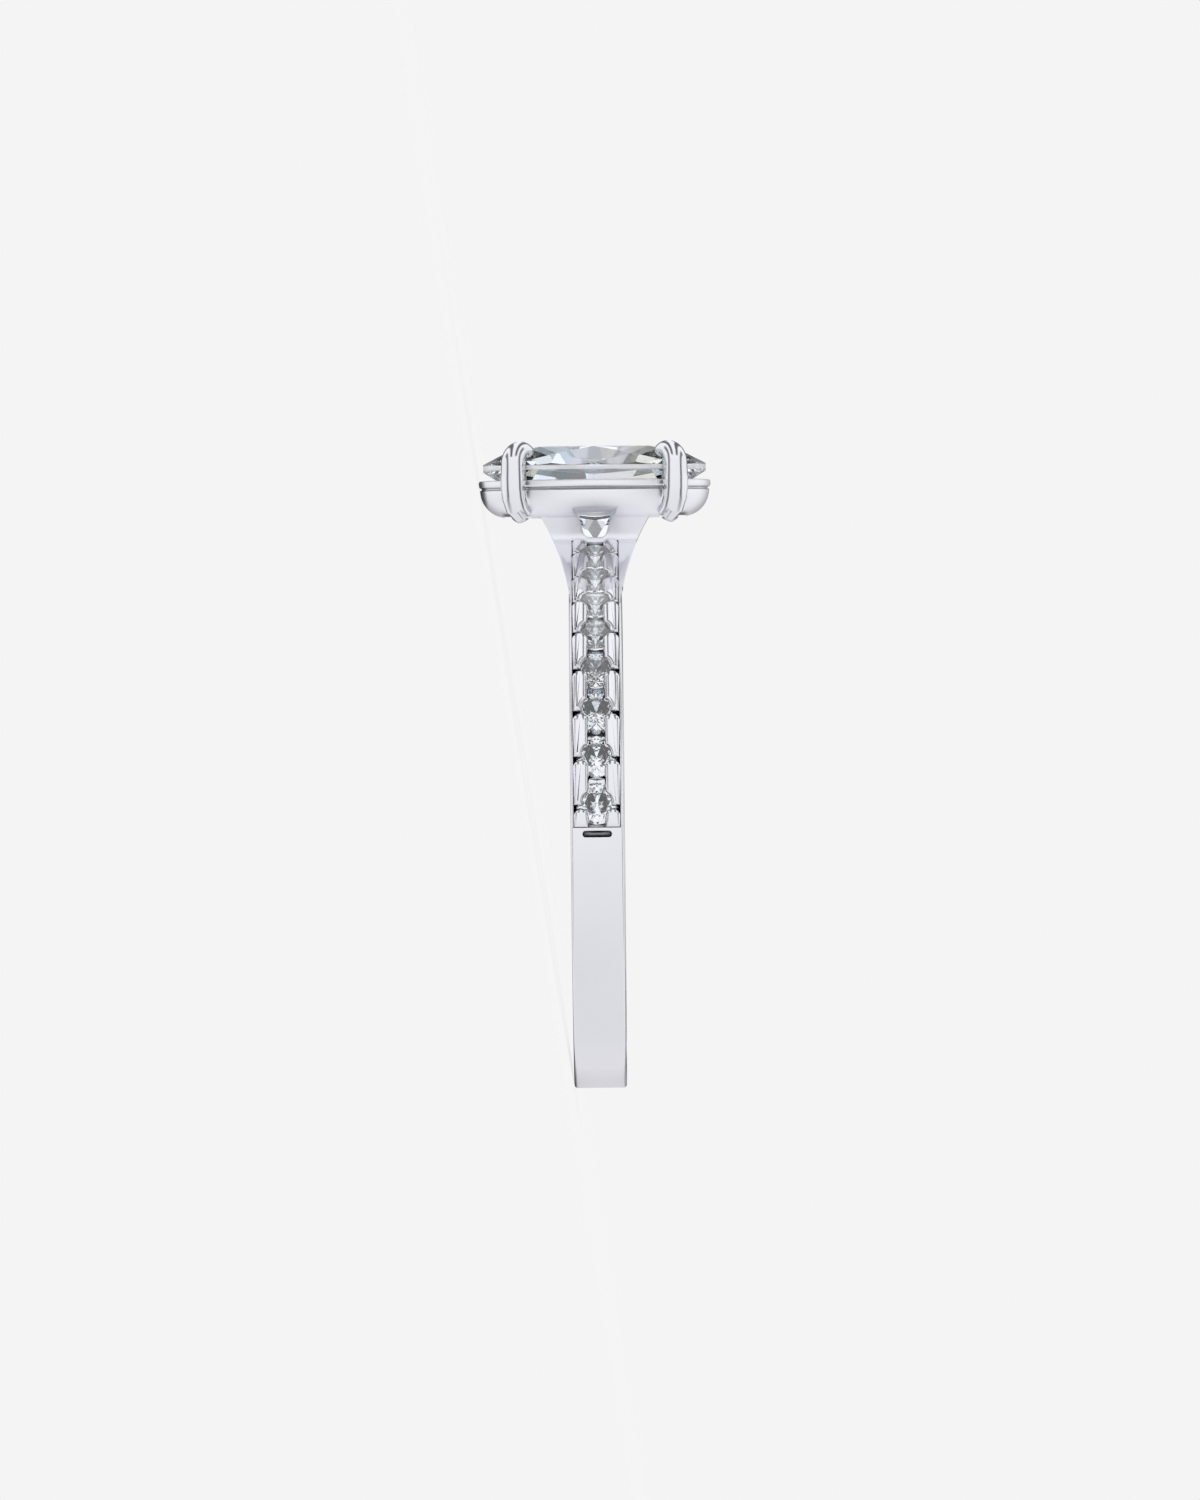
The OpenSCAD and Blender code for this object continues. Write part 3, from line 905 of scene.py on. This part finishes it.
class RING_OT_metal(bpy.types.Operator):
    """Models the band, shoulders, cup and claws and joins them as one casting"""

    bl_idname = "ring.metal"
    bl_label = "Metal"

    def execute(self, context):
        band, cup, pave = sizes()
        cast = make_band(band)
        cast.name = "metal"
        combine(cast, make_shoulders(band, cup), "UNION")
        for half_wide, depth, low in (
            (pave.channel, pave.depth, pave.low),
            (pave.groove, pave.groove_depth, stone_place(band, pave, 0)),
        ):
            channel = make_channel(band, half_wide, depth, low)
            combine(cast, copy_to(channel, MIRROR_X), "DIFFERENCE")
            combine(cast, channel, "DIFFERENCE")
        combine(cast, make_cup(cup), "UNION")
        combine(cast, make_cavity(cup), "DIFFERENCE")
        combine(cast, make_window(band), "DIFFERENCE")
        seat = make_seat()
        places = [
            on_face(band, stone_place(band, pave, i), side)
            for side in SIDES
            for i in range(STONES)
        ]
        seats = join([copy_to(seat, matrix) for matrix in places], "seats")
        bpy.data.objects.remove(seat)
        combine(cast, seats, "DIFFERENCE")
        slot = make_slot()
        for side in SIDES:
            here = on_face(band, pave.low - SLOT_BELOW, side)
            combine(cast, copy_to(slot, here), "DIFFERENCE")
        bpy.data.objects.remove(slot)
        claw = make_claw(cup)
        inwards = Matrix.Rotation(math.radians(46), 4, "Z")
        claw_place = STAND @ Matrix.Translation((cup.claw_across, cup.claw_along, 0)) @ inwards
        claws = join(
            [
                copy_to(claw, mirror_x @ mirror_z @ claw_place)
                for mirror_x in (Matrix.Identity(4), MIRROR_X)
                for mirror_z in (Matrix.Identity(4), MIRROR_Z)
            ],
            "claws",
        )
        bpy.data.objects.remove(claw)
        combine(claws, stone_room("centre_stone", STONE_CLEAR), "DIFFERENCE")
        combine(cast, claws, "UNION")
        place(cast, LAY_DOWN)
        finish_piece(cast, metal_look(context.scene.ring_colours.metal))
        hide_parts("cast_ring")
        return {"FINISHED"}


class RING_OT_side_claws(bpy.types.Operator):
    """Models the long small claws that hold the side stones"""

    bl_idname = "ring.side_claws"
    bl_label = "Small claws"

    def execute(self, context):
        band, _, pave = sizes()
        # Each claw reaches from a little under the middle of one stone to under that of the next
        foot_under, head_under, lowest_under, scoop_r = 0.1, 0.2, 0.02, 0.52
        middles = [stone_place(band, pave, i) for i in range(STONES)]
        top = (band.inner + band.thickness) * band.leave + band.ramp
        feet = [pave.low - lowest_under] + [middle - foot_under for middle in middles]
        heads = [middle - head_under for middle in middles] + [top]
        off = Matrix.Translation((pave.claw_off, 0, 0))
        copies = []
        for low, high in zip(feet, heads):
            claw = make_side_claw(pave, high - low, scoop_r if low > pave.low else 0)
            for side in SIDES:
                here = on_face(band, (low + high) / 2, side) @ off
                copies.append(copy_to(claw, here))
                copies.append(copy_to(claw, MIRROR_Z @ here))
            bpy.data.objects.remove(claw)
        claws = place(join(copies, "side_claws"), LAY_DOWN)
        finish_piece(claws, bpy.data.materials["White gold"])
        return {"FINISHED"}


class RING_OT_stones(bpy.types.Operator):
    """Finishes the centre stone and the side stones"""

    bl_idname = "ring.stones"
    bl_label = "Stones"

    def execute(self, context):
        colour = context.scene.ring_colours.stone
        centre = centre_stone_look(colour)
        side = side_stone_look(colour)
        for name, obj in frame["nodes"].items():
            if "stone" in name:
                obj.data.materials.clear()
                obj.data.materials.append(centre if name == "centre_stone" else side)
        return {"FINISHED"}


class RING_OT_stage(bpy.types.Operator):
    """Makes the floor, the light of the studio and the camera"""

    bl_idname = "ring.stage"
    bl_label = "Stage"

    def execute(self, context):
        colours = context.scene.ring_colours
        context.scene.view_settings.view_transform = "Standard"
        context.scene.view_settings.look = "None"
        make_world(context.scene, colours)
        make_floor(colours)
        make_camera(context.scene)
        return {"FINISHED"}


def make_world(scene, colours):
    """Pale studio walls with dark cards, which the polished metal mirrors"""
    world = bpy.data.worlds.new("Studio")
    scene.world = world
    look = Look(world)
    where = look.value("ShaderNodeTexCoord", output="Generated")
    behind = look.along(where, RING_X)
    above = look.along(where, RING_Y)
    aside = look.along(where, RING_Z)
    height = above.math("ABSOLUTE")
    reach = aside.math("ABSOLUTE")

    # The dark cards draw the dark lines on the polished metal
    far_wall = look.step(behind, 0.62, 0.85) * look.step(reach, 0.04, 0.1)
    far_wall = far_wall * (1 - look.step(height, 0.45, 0.7))
    side_card = look.between(reach, (0.7, 0.76), (0.88, 0.93)) * look.step(above, -0.7, -0.3)
    side_card = side_card * (1 - look.step(behind, 0.0, 0.2))
    top_card = look.between(reach, (0.18, 0.24), (0.45, 0.55)) * look.step(above, 0.5, 0.6)
    level = (0.9 + above * 0.12) * (1 - far_wall * 0.85)
    level = level * (1 - side_card * 0.8) * (1 - top_card * 0.85)
    wall = look.mix(level, rgba((0, 0, 0)), rgba((0.97, 0.97, 1.0)))

    # Through a stone the walls are fields of light, most of them white and a few tinted
    fields = {"Vector": where, "Scale": 3.2, "Randomness": 1.0}
    cell = look.value("ShaderNodeTexVoronoi", fields, output="Color")
    spark = look.along(cell, (1.0, 0.0, 0.0))
    hue = look.along(cell, (0.0, 1.0, 0.0))
    tint = look.mix(look.step(hue, 0.7, 0.8), rgba((0.95, 0.96, 1.0)), rgba((0.72, 0.86, 1.0)))
    tint = look.mix(look.step(hue, 0.9, 0.95), tint, rgba((0.86, 0.82, 0.6)))
    facet = look.mix(look.step(spark, 0.1, 0.4), rgba((0.2, 0.205, 0.2)), tint)
    through = look.value("ShaderNodeLightPath", output="Is Transmission Ray")
    wall = look.mix(through, wall, facet)

    seen = look.value("ShaderNodeLightPath", output="Is Camera Ray")
    studio = look.node("ShaderNodeBackground", {"Color": wall, "Strength": 1.1})
    plain = look.node("ShaderNodeBackground", {"Color": rgba(colours.backdrop), "Strength": 1.0})
    mixed = look.node("ShaderNodeMixShader", {0: seen, 1: studio, 2: plain})
    look.node("ShaderNodeOutputWorld", {"Surface": mixed})


def make_floor(colours):
    """A plain pale floor that melts into the backdrop"""
    # It fades to see-through between two distances from the ring
    floor_r, clear_from, clear_to = 0.075, 0.018, 0.07
    floor = start(
        bpy.ops.mesh.primitive_circle_add, "floor", vertices=96, radius=floor_r,
        fill_type="NGON", location=(0, 0, 0),
    )
    bpy.ops.object.mode_set(mode="OBJECT")
    look = Look(bpy.data.materials.new("Floor"))
    where = look.value("ShaderNodeTexCoord", output="Object")
    reach = look.value("ShaderNodeVectorMath", {0: where}, output="Value", operation="LENGTH")
    grain = look.value("ShaderNodeTexNoise", {"Vector": where, "Scale": 900.0, "Detail": 3.0})
    paper = look.node(
        "ShaderNodeBsdfPrincipled",
        {
            "Base Color": rgba(colours.floor, 0.25),
            "Roughness": 0.85 + grain * 0.1,
            "Specular IOR Level": 0.0,
            "Emission Color": rgba(colours.floor),
            "Emission Strength": 0.83,
        },
    )
    clear = look.node("ShaderNodeBsdfTransparent")
    fading = look.step(reach, clear_from, clear_to)
    mixed = look.node("ShaderNodeMixShader", {0: fading, 1: paper, 2: clear})
    look.node("ShaderNodeOutputMaterial", {"Surface": mixed})
    floor.data.materials.append(look.owner)
    floor.visible_glossy = False
    floor.visible_transmission = False


def make_camera(scene):
    """A long lens at the side of the ring, turned so that the ring stands upright"""
    data = bpy.data.cameras.new("Camera")
    camera = bpy.data.objects.new("Camera", data)
    scene.collection.objects.link(camera)
    # Places in the upright ring, in millimetres, and how far the ring leans in the picture
    eye = LAY_DOWN @ Vector((-600, 3, 2.2))
    aim = LAY_DOWN @ Vector((0, 2.75, 0.1))
    lean = math.radians(-0.6)
    back = (eye - aim).normalized()
    right = RING_Y.cross(back).normalized()
    right.rotate(Quaternion(back, lean))
    up = back.cross(right)
    turned = Matrix((right, up, back)).transposed().to_4x4()
    camera.matrix_world = Matrix.Translation(eye) @ turned
    data.sensor_width = 36
    data.lens = 377
    data.clip_start = 0.01
    data.clip_end = 2
    scene.camera = camera


class RING_PT_panel(bpy.types.Panel):
    """Lists the ring's sizes, colours and steps"""

    bl_idname = "RING_PT_panel"
    bl_label = "Solitaire Ring"
    bl_space_type = "VIEW_3D"
    bl_region_type = "UI"
    bl_category = "Ring"

    def draw(self, context):
        scene = context.scene
        for group in (scene.ring_band, scene.ring_cup, scene.ring_pave, scene.ring_colours):
            box_layout = self.layout.box()
            for name in group.bl_rna.properties.keys():
                if name not in {"rna_type", "name"}:
                    box_layout.prop(group, name)
        for operator in OPERATORS:
            self.layout.operator(operator.bl_idname)


GROUPS = {
    "ring_band": RingBandSizes,
    "ring_cup": RingCupSizes,
    "ring_pave": RingPaveSizes,
    "ring_colours": RingColours,
}
OPERATORS = (RING_OT_metal, RING_OT_side_claws, RING_OT_stones, RING_OT_stage)
CLASSES = (*GROUPS.values(), *OPERATORS, RING_PT_panel)


def register():
    for cls in CLASSES:
        bpy.utils.register_class(cls)
    for name, group in GROUPS.items():
        setattr(bpy.types.Scene, name, bpy.props.PointerProperty(type=group))


def unregister():
    for name in GROUPS:
        delattr(bpy.types.Scene, name)
    for cls in reversed(CLASSES):
        bpy.utils.unregister_class(cls)


def main():
    register()
    bpy.ops.ring.metal()
    bpy.ops.ring.side_claws()
    bpy.ops.ring.stones()
    bpy.ops.ring.stage()


if __name__ == "__main__":
    main()
